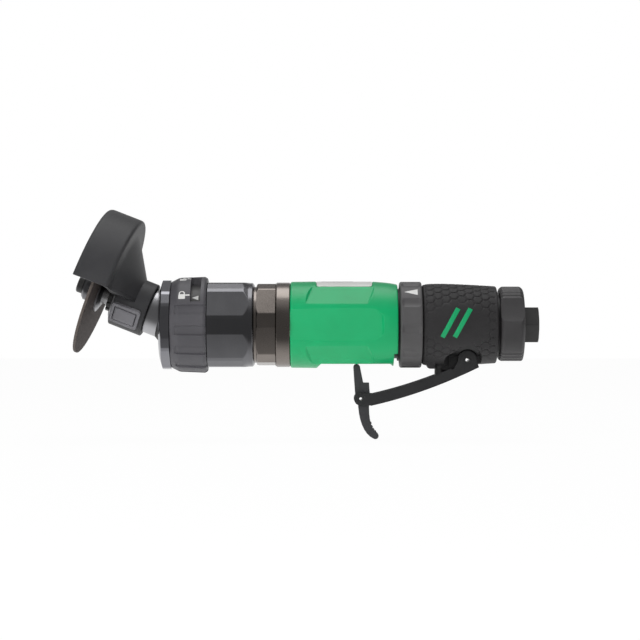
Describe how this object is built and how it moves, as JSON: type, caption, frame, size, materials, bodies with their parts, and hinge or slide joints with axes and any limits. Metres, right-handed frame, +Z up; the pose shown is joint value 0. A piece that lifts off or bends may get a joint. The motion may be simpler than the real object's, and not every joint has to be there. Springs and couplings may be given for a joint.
{
  "type": "pneumatic cut off tool",
  "caption": "Hand held air cut off tool with a swivelling angle head, guarded cutting wheel, throttle lever with safety catch, regulator ring and turning exhaust ring.",
  "frame": {"origin": "centre of the air inlet's mouth, on the tool's axis", "axes": "+X out of the air inlet along the tool's axis, +Z up, away from the throttle lever"},
  "size_m": [0.2665, 0.0933, 0.1315],
  "materials": {
    "green_housing": "satin",
    "black_plastic": "satin",
    "dark_plastic": "matte",
    "grey_plastic": "satin",
    "label_white": "matte",
    "vane_resin": "matte",
    "abrasive": "matte",
    "rubber": "matte",
    "felt": "matte",
    "black_metal": "satin",
    "nickel_steel": "polished",
    "steel": "polished",
    "alloy": "satin",
    "cast_cylinder": "satin",
    "brass": "satin"
  },
  "bodies": {
    "body": {"inlet_bushing": "black_metal", "inlet_screen": "steel", "inlet_seal": "rubber", "handle_body": "alloy", "rubber_grip": "rubber", "regulator_seal": "rubber", "motor_housing": "green_housing", "data_label": "label_white", "rear_end_plate": "alloy", "motor_cylinder": "cast_cylinder", "front_end_plate": "alloy", "rear_motor_bearing": "steel", "front_motor_bearing": "steel", "clamp_nut": "nickel_steel", "coupling_housing": "black_metal", "pinion_bearings": "steel", "lock_balls": "steel", "valve_bushing": "brass", "valve_plug": "steel", "valve_spring": "steel", "lever_pin": "steel"},
    "exhaust": {"exhaust_ring": "dark_plastic", "exhaust_felt": "felt"},
    "regulator": {"regulator_ring": "dark_plastic"},
    "lock": {"lock_ring": "grey_plastic"},
    "lever": {"throttle_lever": "black_metal", "safety_pin": "steel"},
    "catch": {"safety_catch": "black_plastic", "safety_spring": "steel"},
    "plunger": {"throttle_plunger": "steel", "plunger_seals": "rubber"},
    "head": {"gear_head": "black_metal", "swivel_seal": "rubber", "rear_spindle_bearing": "steel", "front_spindle_bearing": "steel", "bearing_retainer": "black_metal", "guard_circlip": "steel"},
    "drive": {"rotor": "steel", "rotor_vanes": "vane_resin", "motor_inner_races": "steel", "shaft_sleeve": "steel", "pinion_shaft": "steel", "bevel_pinion": "steel", "pinion_inner_races": "steel"},
    "spindle": {"spindle": "steel", "bevel_gear": "steel", "spindle_inner_races": "steel", "inner_flange": "steel", "cutting_wheel": "abrasive", "outer_flange": "steel", "wheel_screw": "black_metal"},
    "guard": {"wheel_guard": "black_plastic", "latch_frame": "grey_plastic", "latch_spring": "steel"},
    "latch": {"latch_button": "grey_plastic"}
  },
  "joints": [
    {"name": "head_swivel", "type": "hinge", "parent": "body", "child": "head", "pos_m": [-0.2021, 0, 0], "axis": [1, 0, 0], "continuous": true},
    {"name": "drive_spin", "type": "hinge", "parent": "head", "child": "drive", "pos_m": [-0.2021, 0, 0], "axis": [1, 0, 0], "continuous": true},
    {"name": "spindle_spin", "type": "hinge", "parent": "head", "child": "spindle", "pos_m": [-0.2021, 0, 0], "axis": [-0.9304, 0.0383, 0.3645], "continuous": true},
    {"name": "guard_turn", "type": "hinge", "parent": "head", "child": "guard", "pos_m": [-0.2021, 0, 0], "axis": [-0.9304, 0.0383, 0.3645], "range_deg": [-90, 90]},
    {"name": "latch_press", "type": "slide", "parent": "guard", "child": "latch", "axis": [0.2154, 0.8617, 0.4593], "range_m": [0, 0.0012], "stiffness_N_per_m": 800, "springref_m": -0.0006, "deforming": ["latch_spring"]},
    {"name": "lock_turn", "type": "hinge", "parent": "body", "child": "lock", "pos_m": [-0.2, 0, 0], "axis": [1, 0, 0], "range_deg": [0, 36]},
    {"name": "regulator_turn", "type": "hinge", "parent": "body", "child": "regulator", "pos_m": [-0.0733, 0, 0], "axis": [1, 0, 0], "range_deg": [-45, 45]},
    {"name": "exhaust_turn", "type": "hinge", "parent": "body", "child": "exhaust", "pos_m": [-0.0153, 0, 0], "axis": [1, 0, 0], "continuous": true},
    {"name": "throttle_press", "type": "hinge", "parent": "body", "child": "lever", "pos_m": [-0.0409, 0, -0.0201], "axis": [0, 1, 0], "range_deg": [0, 8], "stiffness_Nm_per_rad": 2, "springref_deg": -3.44},
    {"name": "safety_flip", "type": "hinge", "parent": "lever", "child": "catch", "pos_m": [-0.1018, 0, -0.0424], "axis": [0, 1, 0], "range_deg": [0, 78.5]},
    {"name": "plunger_slide", "type": "slide", "parent": "body", "child": "plunger", "axis": [0, 0, 1], "range_m": [0, 0.0025], "deforming": ["valve_spring"]}
  ],
  "couplings": [
    {"joint": "spindle_spin", "follows": "drive_spin", "ratio": -1},
    {"joint": "safety_flip", "follows": "throttle_press", "ratio": 9.75},
    {"joint": "plunger_slide", "follows": "throttle_press", "m_per_rad": 0.0176}
  ]
}
